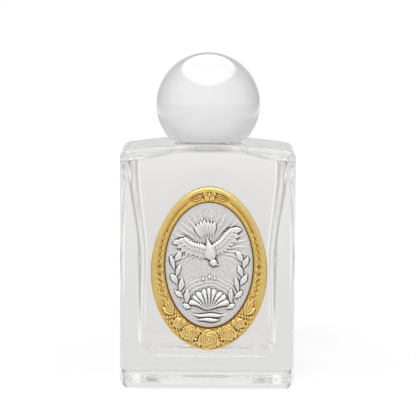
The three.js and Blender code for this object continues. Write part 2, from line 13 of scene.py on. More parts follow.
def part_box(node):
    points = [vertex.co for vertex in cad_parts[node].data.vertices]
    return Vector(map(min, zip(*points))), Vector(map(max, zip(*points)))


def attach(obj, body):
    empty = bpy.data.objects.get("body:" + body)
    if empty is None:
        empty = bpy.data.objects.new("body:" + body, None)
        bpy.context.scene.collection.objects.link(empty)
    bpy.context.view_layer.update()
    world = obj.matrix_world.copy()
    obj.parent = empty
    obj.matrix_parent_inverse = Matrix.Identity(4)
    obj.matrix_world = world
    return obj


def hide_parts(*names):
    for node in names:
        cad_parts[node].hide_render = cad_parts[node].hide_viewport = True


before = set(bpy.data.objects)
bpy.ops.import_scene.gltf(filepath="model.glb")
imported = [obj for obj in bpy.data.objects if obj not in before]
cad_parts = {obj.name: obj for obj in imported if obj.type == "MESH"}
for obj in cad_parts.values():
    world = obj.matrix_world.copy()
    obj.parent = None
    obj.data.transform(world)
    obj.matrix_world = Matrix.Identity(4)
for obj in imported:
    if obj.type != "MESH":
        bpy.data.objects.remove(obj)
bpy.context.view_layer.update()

MM = 0.001


def box_mm(node):
    low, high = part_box(node)
    return np.array(low) / MM, np.array(high) / MM


# Sizes of the CAD model, in millimetres
glass_low, glass_high = box_mm("glass_bottle")
frame_low, frame_high = box_mm("plaque_frame")
sleeve_low, sleeve_high = box_mm("cap_insert")
ball_low, ball_high = box_mm("ball_knob")
BACKING_FRONT = box_mm("plaque_backing")[0][1]

CLEARANCE = 0.3
HALF_WIDTH = (glass_high[0] - glass_low[0]) / 2
HALF_DEPTH = (glass_high[1] - glass_low[1]) / 2
MIDDLE_Y = (glass_high[1] + glass_low[1]) / 2
LIP_HEIGHT = glass_high[2]
SHOULDER_HEIGHT = ball_low[2] - CLEARANCE

# Glass body
BODY_CORNER = 2.5
FOOT_RADIUS = 3.1
SHOULDER_DROP = 2.1
SHOULDER_EDGE = 1.7

# Recess under the base: its slope ends, and its rounded edge begins, at shares of its depth
PUNT_HALF = (14.5, 7.0)
PUNT_CORNER = 5.0
PUNT_DEPTH = 0.9
PUNT_EDGE = 0.8
PUNT_SLOPE = 1.5
PUNT_SHARES = (0.96, 0.9)

# Space inside the glass. Walls are given at its foot and at its top
FLOOR_THICKNESS = 9.0
FLOOR_CROWN = 1.0
SIDE_WALL = (4.9, 2.0)
FACE_WALL = (3.7, 2.9)
WALL_CURVE = (SHOULDER_HEIGHT - 6.0, SHOULDER_HEIGHT - 33.0)
CAVITY_CORNER = 2.6
CAVITY_LEAST = 0.8
CAVITY_FOOT = 5.0
CAVITY_TOP = 1.0
CEILING_THICKNESS = 1.5
CEILING_DROP = 2.3
CEILING_SIDE = 5.0
PAD_AIR = 0.02

# Neck and thread
NECK_RADIUS = 6.9
NECK_ROOT = 0.25
BORE_RADIUS = 4.3
BORE_FLARE = 2.9
LIP_OUTER = 0.7
LIP_INNER = 0.9
THREAD_PITCH = 3.2
THREAD_TURNS = 1.5
THREAD_DEPTH = 0.9
THREAD_ROOT = 1.6
THREAD_CREST = 0.7
THREAD_FADE = 0.12
THREAD_START = LIP_HEIGHT - 3.3 - THREAD_PITCH * THREAD_TURNS

# Cap. The rim's steps are in from the ball's lowest circle and up from its underside
BALL_RADIUS = (ball_high[0] - ball_low[0]) / 2
BALL_CENTRE = ball_high[2] - BALL_RADIUS
BALL_CHAMFER = 0.5
BALL_RIM = ((0.62, 0.0), (0.25, 0.1), (0.05, 0.3))
BALL_CORE_WALL = 4.2
BALL_CORE_LEDGE = 2.5
SOCKET_CHAMFER = 0.2
RIBS = 24
RIB_HEIGHT = 0.4
RIB_EDGE = 0.15
RIB_RADIUS = (sleeve_high[0] - sleeve_low[0]) / 2
SLEEVE_RADIUS = RIB_RADIUS - RIB_HEIGHT
SLEEVE_BORE = NECK_RADIUS + THREAD_DEPTH + CLEARANCE
SLEEVE_DECK = 1.2
SLEEVE_CHAMFER = 0.3
SLEEVE_EDGE = 0.1

# Plaque: u runs right and v up from the frame's middle, and w out of the glass
PLAQUE_U = (frame_low[0] + frame_high[0]) / 2
PLAQUE_V = (frame_low[2] + frame_high[2]) / 2
GLASS_FACE = MIDDLE_Y - HALF_DEPTH
FRAME_HALF = np.array([frame_high[0] - frame_low[0], frame_high[2] - frame_low[2]]) / 2
FRAME_SAG = 1.2
FRAME_POINT = 0.045
OVAL_FROM = 0.75
OPENING_HALF = np.array([12.425, 17.9])
OPENING_RISE = 1.1
OPENING_MARGIN = 0.5
REBATE_WIDTH = 0.9
FRAME_BACK = 0.4
FRAME_DEPTH = 2.0
FRAME_CREST = FRAME_BACK + FRAME_DEPTH
FRAME_FACE = FRAME_CREST - FRAME_DEPTH * 0.18
PLATE_THICKNESS = 0.5
PLATE_TOP = GLASS_FACE - BACKING_FRONT + PLATE_THICKNESS
PLATE_CROWN = 0.25
LIP_EDGE = 0.3
RELIEF_SURFACE = PLATE_TOP + PLATE_CROWN * 0.6
RELIEF_HEIGHT = 0.85


# Camera: at the photograph's place, 0.59 m in front of the bottle and a little above its cap

CAMERA_DISTANCE = 585.6
CAMERA_HEIGHT = 129.1
CAMERA_SIDE = 0.1
CAMERA_PITCH = 0.1324
CAMERA_ROLL = 0.0055
SENSOR_WIDTH = 36.0
FOCAL_PIXELS = 2027.0
PICTURE_PIXELS = 416


def make_camera():
    data = bpy.data.cameras.new("camera")
    data.sensor_width = SENSOR_WIDTH
    data.lens = FOCAL_PIXELS / PICTURE_PIXELS * data.sensor_width
    data.clip_start = 0.01
    data.clip_end = 50.0
    camera = bpy.data.objects.new("camera", data)
    camera.location = Vector((CAMERA_SIDE, MIDDLE_Y - CAMERA_DISTANCE, CAMERA_HEIGHT)) * MM
    level = Euler((math.pi / 2 - CAMERA_PITCH, 0, 0)).to_matrix()
    camera.rotation_euler = (level @ Matrix.Rotation(CAMERA_ROLL, 3, "Z")).to_euler()
    bpy.context.scene.collection.objects.link(camera)
    bpy.context.scene.camera = camera


# Meshes

def enclosed_volume(points, faces):
    first, *others = np.moveaxis(points[faces], 1, 0)
    return sum(np.sum(np.cross(first, here) * there) for here, there in zip(others, others[1:]))


def make_piece(name, points, faces, body, material, sharp_degrees):
    """A smooth-shaded object from points in millimetres and arrays of faces, turned so that it faces out."""
    if sum(enclosed_volume(points, group) for group in faces) < 0:
        faces = [group[:, ::-1] for group in faces]
    mesh = bpy.data.meshes.new(name)
    mesh.from_pydata((points * MM).tolist(), [], [face for group in faces for face in group.tolist()])
    mesh.materials.append(material)
    mesh.shade_smooth()
    mesh.set_sharp_from_angle(angle=math.radians(sharp_degrees))
    piece = bpy.data.objects.new(name, mesh)
    bpy.context.scene.collection.objects.link(piece)
    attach(piece, body)
    return piece


def skin(rings, poles=None):
    """Points and faces of one closed surface over rings of equal count. Poles close its ends, and without
    them the last ring joins the first."""
    rings = np.asarray(rings, float)
    bands, count = rings.shape[:2]
    points = rings.reshape(-1, 3)
    index = np.arange(bands * count).reshape(bands, count)
    here, there = index, np.roll(index, -1, axis=0)
    if poles is not None:
        here, there = here[:-1], there[:-1]
    quads = np.stack([here, np.roll(here, -1, 1), np.roll(there, -1, 1), there], axis=-1).reshape(-1, 4)
    if poles is None:
        return points, [quads]
    first, last = len(points), len(points) + 1
    points = np.vstack([points, poles])
    start, end = index[0], index[-1]
    fan_first = np.stack([np.full(count, first), np.roll(start, -1), start], axis=-1)
    fan_last = np.stack([end, np.roll(end, -1), np.full(count, last)], axis=-1)
    return points, [quads, fan_first, fan_last]


def quarter_steps(count):
    """Sine and cosine of even steps through a quarter turn."""
    angles = np.linspace(0, math.pi / 2, count + 1)
    return list(zip(np.sin(angles), np.cos(angles)))


def smoothstep(value, low, high):
    share = np.clip((value - low) / (high - low), 0, 1)
    return share * share * (3 - 2 * share)


def fade(value, low, high):
    """From 1 at the low end to 0 at the high one."""
    return 1 - smoothstep(value, low, high)


def lerp(first, last, share):
    return first + (last - first) * share


def dome(reach):
    """The height of a round dome over its middle: 1 there, and 0 from reach 1 outwards."""
    return np.sqrt(np.clip(1 - reach ** 2, 0, 1))


# Rings of the glass: a rounded rectangle and a circle have as many points, so that they join one to one

SIDE_STEPS = 14
FACE_STEPS = 28
CORNER_STEPS = 10
RING_STEPS = 2 * SIDE_STEPS + 2 * FACE_STEPS + 4 * CORNER_STEPS
RING_ANGLES = SIDE_STEPS * math.pi / RING_STEPS + np.arange(RING_STEPS) * 2 * math.pi / RING_STEPS


def ring_at(x, y, height):
    z = height(x) if callable(height) else np.full_like(x, height)
    return np.stack([x, y, z], axis=-1)


def rectangle_ring(half_x, half_y, radius, height):
    plan = []
    for quarter, (sign_x, sign_y) in enumerate([(1, 1), (-1, 1), (-1, -1), (1, -1)]):
        angles = (quarter + np.linspace(0, 1, CORNER_STEPS + 1)) * math.pi / 2
        x = sign_x * (half_x - radius) + radius * np.cos(angles)
        y = sign_y * (half_y - radius) + radius * np.sin(angles)
        plan.append(np.stack([x, y], axis=-1))
    ring = []
    for quarter, corner in enumerate(plan):
        end, start = corner[-1], plan[(quarter + 1) % 4][0]
        steps = FACE_STEPS if quarter % 2 == 0 else SIDE_STEPS
        shares = np.linspace(0, 1, steps + 1)[1:-1, None]
        ring += [corner, lerp(end, start, shares)]
    x, y = np.concatenate(ring).T
    return ring_at(x, y, height)


def circle_ring(radius, height):
    return ring_at(radius * np.cos(RING_ANGLES), radius * np.sin(RING_ANGLES), height)


def rings_between(first, last, count, height):
    plans = [lerp(first, last, share) for share in np.arange(1, count + 1) / (count + 1)]
    return [ring_at(plan[:, 0], plan[:, 1], height) for plan in plans]


# Glass bottle

def shoulder_at(x):
    radius = (HALF_WIDTH ** 2 + SHOULDER_DROP ** 2) / (2 * SHOULDER_DROP)
    return SHOULDER_HEIGHT - (radius - np.sqrt(radius ** 2 - x ** 2))


def ceiling_at(x):
    share = smoothstep(np.abs(x), BORE_RADIUS + BORE_FLARE, HALF_WIDTH - CEILING_SIDE)
    return SHOULDER_HEIGHT - CEILING_THICKNESS - CEILING_DROP * share


def punt_ring(inset, height):
    return rectangle_ring(PUNT_HALF[0] - inset, PUNT_HALF[1] - inset, PUNT_CORNER - inset, height)


def outer_ring(inset, height):
    return rectangle_ring(HALF_WIDTH - inset, HALF_DEPTH - inset, max(BODY_CORNER - inset, 0.1), height)


def cavity_ring(share, inset, height):
    """A ring of the space inside. The walls are thin at share 1, at the top, and thick at share 0."""
    side, face = lerp(*SIDE_WALL, share), lerp(*FACE_WALL, share)
    radius = max(CAVITY_CORNER - inset, CAVITY_LEAST)
    return rectangle_ring(HALF_WIDTH - side - inset, HALF_DEPTH - face - inset, radius, height)


def base_rings():
    """From the middle of the recess out to the body's side. Two rings keep the rim between curves flat."""
    rim_inner, rim_outer = 0.3, 0.2
    slope_end, edge_start = (PUNT_DEPTH * share for share in PUNT_SHARES)
    rings = [punt_ring(PUNT_EDGE + PUNT_SLOPE, PUNT_DEPTH), punt_ring(PUNT_EDGE, slope_end)]
    for sine, cosine in quarter_steps(4):
        rings.append(punt_ring(PUNT_EDGE * (1 - sine), edge_start * cosine))
    rings += [punt_ring(-rim_inner, 0), outer_ring(FOOT_RADIUS + rim_outer, 0)]
    for sine, cosine in quarter_steps(8):
        rings.append(outer_ring(FOOT_RADIUS * (1 - sine), FOOT_RADIUS * (1 - cosine)))
    return rings


def shoulder_rings():
    support = 0.5
    below = SHOULDER_EDGE + support
    rings = [outer_ring(0, FOOT_RADIUS + support), outer_ring(0, lambda x: shoulder_at(x) - below)]
    for sine, cosine in quarter_steps(8):
        rise = SHOULDER_EDGE * (1 - sine)
        rings.append(outer_ring(SHOULDER_EDGE * (1 - cosine), lambda x, rise=rise: shoulder_at(x) - rise))
    inner = outer_ring(SHOULDER_EDGE + support, shoulder_at)
    root = circle_ring(NECK_RADIUS + NECK_ROOT, shoulder_at)
    return rings + [inner] + rings_between(inner, root, 12, shoulder_at) + [root]


def thread_rise(angle, height, start):
    """How far a right-handed thread ridge stands off its wall, with both ends run out."""
    rise = np.zeros_like(angle)
    for lap in range(math.ceil(THREAD_TURNS)):
        turns = lap + np.mod(angle, 2 * math.pi) / (2 * math.pi)
        flank = fade(np.abs(height - start - THREAD_PITCH * turns), THREAD_CREST / 2, THREAD_ROOT / 2)
        ends = np.clip(np.minimum(turns, THREAD_TURNS - turns) / THREAD_FADE, 0, 1)
        rise = np.maximum(rise, THREAD_DEPTH * flank * np.sqrt(ends))
    return rise


def neck_rings():
    """Up the threaded neck, round its lip, and down the bore to the flare in the ceiling."""
    rings = [circle_ring(NECK_RADIUS, lambda x: shoulder_at(x) + NECK_ROOT)]
    under_lip = LIP_HEIGHT - LIP_OUTER - 0.1
    for height in np.linspace(SHOULDER_HEIGHT + 2 * NECK_ROOT, under_lip, 60):
        rings.append(circle_ring(NECK_RADIUS + thread_rise(RING_ANGLES, height, THREAD_START), height))
    for sine, cosine in quarter_steps(5):
        rings.append(circle_ring(NECK_RADIUS - LIP_OUTER * (1 - cosine), LIP_HEIGHT - LIP_OUTER * (1 - sine)))
    for sine, cosine in quarter_steps(5):
        rings.append(circle_ring(BORE_RADIUS + LIP_INNER * (1 - sine), LIP_HEIGHT - LIP_INNER * (1 - cosine)))
    for share in np.linspace(0, 1, 8):
        drop = BORE_FLARE * (1 - share)
        rings.append(circle_ring(BORE_RADIUS + BORE_FLARE * share, lambda x, drop=drop: ceiling_at(x) + drop))
    return rings


def cavity_rings(start):
    """Out along the ceiling, down the walls, and in over the crowned floor."""
    rings = []
    for sine, cosine in quarter_steps(7):
        drop = CAVITY_TOP * (1 - cosine)
        rings.append(cavity_ring(1, CAVITY_TOP * (1 - sine), lambda x, drop=drop: ceiling_at(x) - drop))
    ceiling = rings_between(start, rings[0], 12, ceiling_at)
    for share in np.linspace(0, 1, 13):
        rings.append(cavity_ring(fade(share, 0, 1), 0, lerp(*WALL_CURVE, share)))
    for sine, cosine in quarter_steps(9):
        height = FLOOR_THICKNESS + CAVITY_FOOT * (1 - sine)
        rings.append(cavity_ring(0, CAVITY_FOOT * (1 - cosine), height))
    edge, middle = rings[-1], np.array([0, 0, FLOOR_THICKNESS + FLOOR_CROWN])
    for share in np.linspace(0.1, 0.9, 9):
        ring = lerp(edge, middle, share)
        ring[:, 2] = FLOOR_THICKNESS + FLOOR_CROWN * (1 - (1 - share) ** 2)
        rings.append(ring)
    return ceiling + rings


def glass_bottle():
    neck = neck_rings()
    rings = np.array(base_rings() + shoulder_rings() + neck + cavity_rings(neck[-1]))
    poles = np.array([[0, 0, PUNT_DEPTH], [0, 0, FLOOR_THICKNESS + FLOOR_CROWN]])
    points, faces = skin(rings, poles)
    points[:, 1] = np.maximum(points[:, 1] + MIDDLE_Y, GLASS_FACE + PAD_AIR)
    piece = make_piece("bottle_glass", points, faces, "bottle", clear_glass(), 50)
    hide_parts("glass_bottle")


# Cap

BALL_STEPS = 128
SPHERE_STEPS = 72
SPHERE_TOP = 88.5
RIB_STEPS = 10


def even_angles(steps):
    return np.arange(steps) * 2 * math.pi / steps


def revolve(profile, steps):
    """Rings round the vertical axis from radii and heights. A radius may vary round its ring."""
    angles = even_angles(steps)
    return [
        np.stack([radius * np.cos(angles), radius * np.sin(angles), np.full(steps, height)], axis=-1)
        for radius, height in profile
    ]


def cap_ball():
    """The ball, from the top of its hollow core down through the socket, and up round the outside."""
    underside = ball_low[2]
    socket = RIB_RADIUS + CLEARANCE
    ledge = sleeve_high[2] + CLEARANCE
    core = socket - BALL_CORE_LEDGE
    core_top = BALL_CENTRE + BALL_RADIUS - BALL_CORE_WALL
    inside = [(core * sine, ledge + (core_top - ledge) * cosine) for sine, cosine in quarter_steps(16)[1:]]
    inside += [(socket, ledge), (socket, underside + SOCKET_CHAMFER), (socket + SOCKET_CHAMFER, underside)]
    first = math.asin((underside + BALL_CHAMFER - BALL_CENTRE) / BALL_RADIUS)
    foot = BALL_RADIUS * math.cos(first)
    rim = [(foot - inwards, underside + up) for inwards, up in BALL_RIM]
    angles = np.linspace(first, math.radians(SPHERE_TOP), SPHERE_STEPS + 1)
    sphere = [(BALL_RADIUS * math.cos(a), BALL_CENTRE + BALL_RADIUS * math.sin(a)) for a in angles]
    poles = np.array([[0, 0, core_top], [0, 0, BALL_CENTRE + BALL_RADIUS]])
    points, faces = skin(revolve(inside + rim + sphere, BALL_STEPS), poles)
    points[:, 1] += MIDDLE_Y
    piece = make_piece("cap_ball", points, faces, "cap", white_gloss(), 40)
    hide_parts("ball_knob")


def cap_sleeve():
    """The ribbed sleeve in the ball. Its thread stands out inside, half a pitch below the neck's."""
    steps = RIBS * RIB_STEPS
    angles = even_angles(steps)
    ribbed = SLEEVE_RADIUS + RIB_HEIGHT * np.clip(1.6 * np.cos(RIBS * angles) + 0.2, 0, 1)
    bottom, top = sleeve_low[2], sleeve_high[2]
    deck = top - SLEEVE_DECK
    start = THREAD_START - THREAD_PITCH / 2
    inside = [
        (SLEEVE_BORE - thread_rise(angles, height, start), height)
        for height in np.linspace(deck, bottom + SLEEVE_CHAMFER, 56)
    ]
    outside = [
        (SLEEVE_BORE + SLEEVE_CHAMFER, bottom),
        (ribbed - RIB_EDGE, bottom),
        (ribbed, bottom + RIB_EDGE),
        (ribbed, top - RIB_HEIGHT - SLEEVE_EDGE),
        (SLEEVE_RADIUS - SLEEVE_EDGE, top - SLEEVE_EDGE),
        (SLEEVE_RADIUS - SLEEVE_CHAMFER, top),
    ]
    poles = np.array([[0, 0, deck], [0, 0, top]])
    points, faces = skin(revolve(inside + outside, steps), poles)
    points[:, 1] += MIDDLE_Y
    piece = make_piece("cap_sleeve", points, faces, "cap", plain_finish("white_plastic"), 35)
    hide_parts("cap_insert")


# Plaque

# The frame's face from its edge to the lip: place across, and depth under the crest as a share of the frame's
FRAME_PROFILE = (
    (0.0, 0.55), (0.008, 0.33), (0.05, 0.15), (0.14, 0.03), (0.27, 0.0), (0.41, 0.06), (0.51, 0.16),
    (0.55, 0.24), (0.585, 0.19), (0.62, 0.24), (0.67, 0.14), (0.75, 0.07), (0.83, 0.09), (0.865, 0.16),
    (0.9, 0.15), (0.95, 0.24),
)
LIP_PLACE = 0.99
HOLLOW_DEPTH = 0.25
FRAME_STEPS = 760

# Turns on the frame are in degrees, anticlockwise from the right. Fine ones have closer points
FOOT = 270
CROWN = 90
FINE_TURNS = ((FOOT, 78), (CROWN, 26))

# Roses from the middle of the foot outwards: turn from the foot, place across the frame, and radius. A rose
# has rounds of petals, each with its size and height
GARLAND = ((0.0, 0.47, 2.85), (22.5, 0.54, 2.25), (37.5, 0.57, 1.6))
ROSE_HEIGHT = 0.65
ROSE_TURN = 0.6
ROSE_ROUNDS = ((1.0, 0.34), (0.76, 0.52), (0.53, 0.7), (0.32, 0.84))
ROSE_BUD = 0.16
FLOWER_EYE = 0.28
PETALS = 5

# Leaves between two roses, from the middle between them: root and tip as turn and place across, and width
LEAF_HEIGHT = 0.45
LEAVES_BETWEEN = (((0.0, 0.4), (-1.0, 0.1), 1.2), ((1.0, 0.6), (3.0, 0.92), 1.5))
FAN_ROOT = (9.0, 0.62)
FAN_TIPS = ((23.0, 0.84), (27.0, 0.56), (22.0, 0.28))
FAN_WIDTH = 1.8

# The crown's flower, and a leaf on each side of it
CROWN_FLOWER = 1.92
CROWN_ACROSS = 0.5
CROWN_LEAF = (6.0, 22.0)
CROWN_LEAF_WIDTH = 1.8

# Small beads between the forms of the garland, and the tendrils above it: turn and place across
BEADS = ((14.5, 0.38), (30.5, 0.36), (45.0, 0.4), (56.0, 0.33))
BEAD_RADIUS = 0.38
BEAD_HEIGHT = 0.4
TENDRILS = ((66.0, 0.74), (73.5, 0.66), (81.0, 0.7), (88.0, 0.63))
TENDRIL_ENDS = ((-3.5, 0.06), (3.0, -0.14))
TENDRIL_WIDTH = 1.2
TENDRIL_HEIGHT = 0.26
TENDRIL_BEND = 0.14

# Ticks: first and last turn, and their number
TICKS = (92.0, 119.0, 24)
TICK_ENDS = ((0.0, 0.76), (0.6, 0.5))
TICK_WIDTH = 0.42
TICK_HEIGHT = 0.16

# Small lapped leaves: length in degrees and width across, and their heights in the garland and above it
FOLIAGE = (4.6, 0.26)
FOLIAGE_HEIGHT = 0.28
CLIMBING_HEIGHT = 0.16


def plaque_points(u, v, w):
    return np.stack([PLAQUE_U + u, GLASS_FACE - w, PLAQUE_V + v], axis=-1)


def spline(points, steps):
    """A Catmull-Rom curve through the points, with as many steps in each span."""
    points = np.array(points, float)
    ends = np.vstack([2 * points[0] - points[1], points, 2 * points[-1] - points[-2]])
    shares = np.linspace(0, 1, steps, endpoint=False)[:, None]
    spans = []
    for before, start, end, after in zip(ends, ends[1:], ends[2:], ends[3:]):
        cubic = 3 * start - before - 3 * end + after
        square = 2 * before - 5 * start + 4 * end - after
        spans.append(0.5 * (2 * start + (end - before) * shares + square * shares ** 2 + cubic * shares ** 3))
    return np.vstack([*spans, points[-1:]])


def frame_points(angle, across):
    """Points on the frame's face. Its outer edge sags and is a little pointed, and the opening is an oval."""
    half_u, half_v = (lerp(*halves, across) for halves in zip(FRAME_HALF, OPENING_HALF))
    outward = np.maximum(0, 1 - across / OVAL_FROM)
    sine, cosine = np.sin(angle), np.cos(angle)
    u = half_u * np.sign(cosine) * np.abs(cosine) ** (1 + FRAME_POINT * outward)
    v = half_v * np.sign(sine) * np.abs(sine) ** (1 + FRAME_POINT * outward)
    return u, v + OPENING_RISE * across - FRAME_SAG * outward * cosine ** 2


def on_frame(turn, across):
    """A place on the frame: a turn, and how far across from its edge at 0 to the opening at 1."""
    u, v = frame_points(np.radians(turn), np.float64(across))
    return float(u), float(v)


def turns_from(place, turns):
    """How far turns lie from a place on the frame, in degrees either way."""
    return np.abs((turns - place + 180) % 360 - 180)


def leaf_rise(u, v, start, end, width, height, bend=0.0, fullest=0.5, vein=0.0, barbs=0.0, hollow=False):
    """A raised leaf or feather between two places, round in section, with an optional vein and barbs. A
    hollow one is a raised rim round a dip with a rib in it."""
    along = np.array(end) - np.array(start)
    length = math.hypot(*along)
    from_start_u, from_start_v = u - start[0], v - start[1]
    share = (from_start_u * along[0] + from_start_v * along[1]) / length ** 2
    inner = np.clip(share, 1e-4, 1 - 1e-4)
    off = (from_start_v * along[0] - from_start_u * along[1]) / length
    off = off - bend * length * 4 * inner * (1 - inner)
    swell = np.sin(math.pi * inner ** (math.log(0.5) / math.log(fullest)))
    side = off / (width / 2 * np.maximum(swell, 0.1))
    rise = height * np.sqrt(swell) * dome(side)
    if hollow:
        rim = np.exp(-(((np.abs(side) - 0.72) / 0.2) ** 2))
        rise = height * np.sqrt(swell) * np.maximum(rim, 0.15 + 0.5 * np.exp(-((side / 0.2) ** 2)))
    rise = rise * (1 - vein * np.exp(-((off / (0.09 * width)) ** 2)))
    if barbs:
        rise = rise * (1 - 0.1 * (0.5 + 0.5 * np.cos((inner * length - np.abs(off)) * 2 * math.pi / barbs)))
    return np.where((share > 0) & (share < 1) & (np.abs(side) < 1), rise, 0)


def about(u, v, centre, radius):
    """Distance in radii, and angle, of places about a centre."""
    u, v = u - centre[0], v - centre[1]
    return np.hypot(u, v) / radius, np.arctan2(v, u)


def rose_rise(u, v, centre, radius, turned):
    """A full-blown rose seen from above: rounds of lapped petals about a bud."""
    reach, angle = about(u, v, centre, radius)
    rise = np.zeros_like(reach)
    for count, (size, base) in enumerate(ROSE_ROUNDS):
        lobe = np.mod((angle + turned) * PETALS / (2 * math.pi) + 0.5 * count, 1)
        inside = reach / (size * (0.86 + 0.14 * np.sqrt(np.sin(math.pi * lobe))))
        cup = base - 0.25 + 0.35 * inside ** 2 + 0.12 * (lobe - 0.5) * inside
        fall = np.clip((inside - 0.93) / 0.12, 0, 1)
        rise = np.maximum(rise, cup * (1 - fall ** 2))
    rise = np.maximum(rise, np.where(reach < ROSE_BUD, dome(reach / ROSE_BUD) * 0.98, 0))
    return np.where(reach < 1.05, np.minimum(rise, 1) * ROSE_HEIGHT, 0)


def flower_rise(u, v, centre, radius):
    """An open flower seen from above: five cupped petals with a groove between each two, and a ringed eye."""
    reach, angle = about(u, v, centre, radius)
    lobe = np.abs(np.cos((angle - math.pi / 2) * PETALS / 2))
    inside = reach / (0.76 + 0.24 * np.sqrt(lobe))
    cup = 0.35 + 0.45 * np.clip(inside, 0, 1) ** 2
    groove = 1 - 0.7 * np.exp(-((lobe * reach / 0.14) ** 2))
    fall = np.clip((inside - 0.88) / 0.12, 0, 1)
    rise = cup * groove * (1 - fall ** 2)
    ring = 1 - 0.6 * np.exp(-((reach / 0.11) ** 2))
    rise = np.where(reach < FLOWER_EYE, dome(reach / FLOWER_EYE) * ring, rise)
    return np.where(inside < 1, rise * ROSE_HEIGHT, 0)


def from_place(side, turn, across, ends):
    """Root and tip of a leaf on one side of the foot, each given by how far it is from one place."""
    return [on_frame(FOOT + side * (turn + further), across + inwards) for further, inwards in ends]


def garland_rise(u, v):
    """Roses at the foot with light leaves and beads between them, and a fan of leaves after the last rose."""
    forms = []
    last = GARLAND[-1][0]
    for side in (-1, 1):
        for index, (turn, across, radius) in enumerate(GARLAND):
            centre = on_frame(FOOT + side * turn, across)
            forms.append(rose_rise(u, v, centre, radius, ROSE_TURN * index * side))
        for before, after in zip(GARLAND, GARLAND[1:]):
            middle = (before[0] + after[0]) / 2
            for *ends, width in LEAVES_BETWEEN:
                leaf = from_place(side, middle, 0.0, ends)
                forms.append(leaf_rise(u, v, *leaf, width, LEAF_HEIGHT, vein=0.4))
        for tip in FAN_TIPS:
            leaf = from_place(side, last, 0.0, (FAN_ROOT, tip))
            forms.append(leaf_rise(u, v, *leaf, FAN_WIDTH, LEAF_HEIGHT, vein=0.5))
        for turn, across in BEADS:
            centre = on_frame(FOOT + side * turn, across)
            forms.append(BEAD_HEIGHT * dome(about(u, v, centre, BEAD_RADIUS)[0]))
    return np.maximum.reduce(forms)


def foliage_rise(turns, across):
    """Small lapped leaves that fill the gaps of the garland, and lower ones that climb along the groove."""
    from_foot = turns_from(FOOT, turns)
    lattice = np.cos(2 * math.pi * from_foot / FOLIAGE[0]) * np.cos(2 * math.pi * across / FOLIAGE[1])
    inside = fade(from_foot, 50, 60) * smoothstep(across, 0.1, 0.18)
    climbing = fade(from_foot, 84, 92) * smoothstep(across, 0.34, 0.44)
    height = np.maximum(FOLIAGE_HEIGHT * inside, CLIMBING_HEIGHT * climbing)
    return height * np.sqrt(np.clip(lattice, 0, 1)) * fade(across, 0.82, 0.9)


def tendril_rise(u, v):
    """Low curled leaves that climb from the garland along the groove, and a run of ticks above them."""
    forms = []
    for side in (-1, 1):
        bend = side * TENDRIL_BEND
        for turn, across in TENDRILS:
            leaf = from_place(side, turn, across, TENDRIL_ENDS)
            forms.append(leaf_rise(u, v, *leaf, TENDRIL_WIDTH, TENDRIL_HEIGHT, bend=bend, hollow=True))
        for turn in np.linspace(*TICKS):
            tick = from_place(side, turn, 0.0, TICK_ENDS)
            forms.append(leaf_rise(u, v, *tick, TICK_WIDTH, TICK_HEIGHT))
    return np.maximum.reduce(forms)


def crown_rise(u, v):
    """A flower at the crown that lies over a hollow leaf on each side."""
    rise = flower_rise(u, v, on_frame(CROWN, CROWN_ACROSS), CROWN_FLOWER)
    for side in (-1, 1):
        start, end = (on_frame(CROWN + side * turn, CROWN_ACROSS) for turn in CROWN_LEAF)
        leaf = leaf_rise(u, v, start, end, CROWN_LEAF_WIDTH, LEAF_HEIGHT, hollow=True)
        rise = np.where(rise > 0, rise, leaf)
    return rise


def hollow_share(turns, across):
    """Where the frame's face is hollowed out under its ornament: at the foot and at the crown."""
    foot = fade(turns_from(FOOT, turns), 56, 72) * smoothstep(across, 0.0, 0.07)
    crown = 0.55 * fade(turns_from(CROWN, turns), 20, 27) * smoothstep(across, 0.26, 0.36)
    return np.maximum(foot, crown) * fade(across, 0.86, 0.94)


def blur(grid, reach, wraps=False):
    """A box blur along both directions of a grid of heights."""
    for axis in (0, 1):
        total = np.zeros_like(grid)
        for step in range(-reach, reach + 1):
            moved = np.roll(grid, step, axis=axis)
            if not (wraps and axis == 0) and step:
                edge = [slice(None)] * 2
                edge[axis] = slice(0, step) if step > 0 else slice(step, None)
                moved[tuple(edge)] = grid[tuple(edge)]
            total += moved
        grid = total / (2 * reach + 1)
    return grid


def add_recess(piece, values):
    """How deep each point lies under those around it, for the metals' tones."""
    layer = piece.data.attributes.new("recess", "FLOAT", "POINT")
    layer.data.foreach_set("value", values.astype(np.float32).ravel())


def turn_steps(count):
    """Turns round the frame, closer together along the garland and the crown."""
    turns = np.linspace(0, 360, 3601)
    density = 0.55 + sum(turns_from(place, turns) < reach for place, reach in FINE_TURNS)
    run = np.concatenate([[0], np.cumsum(density[:-1])])
    return np.interp(np.arange(count) / count, run / run[-1], turns)


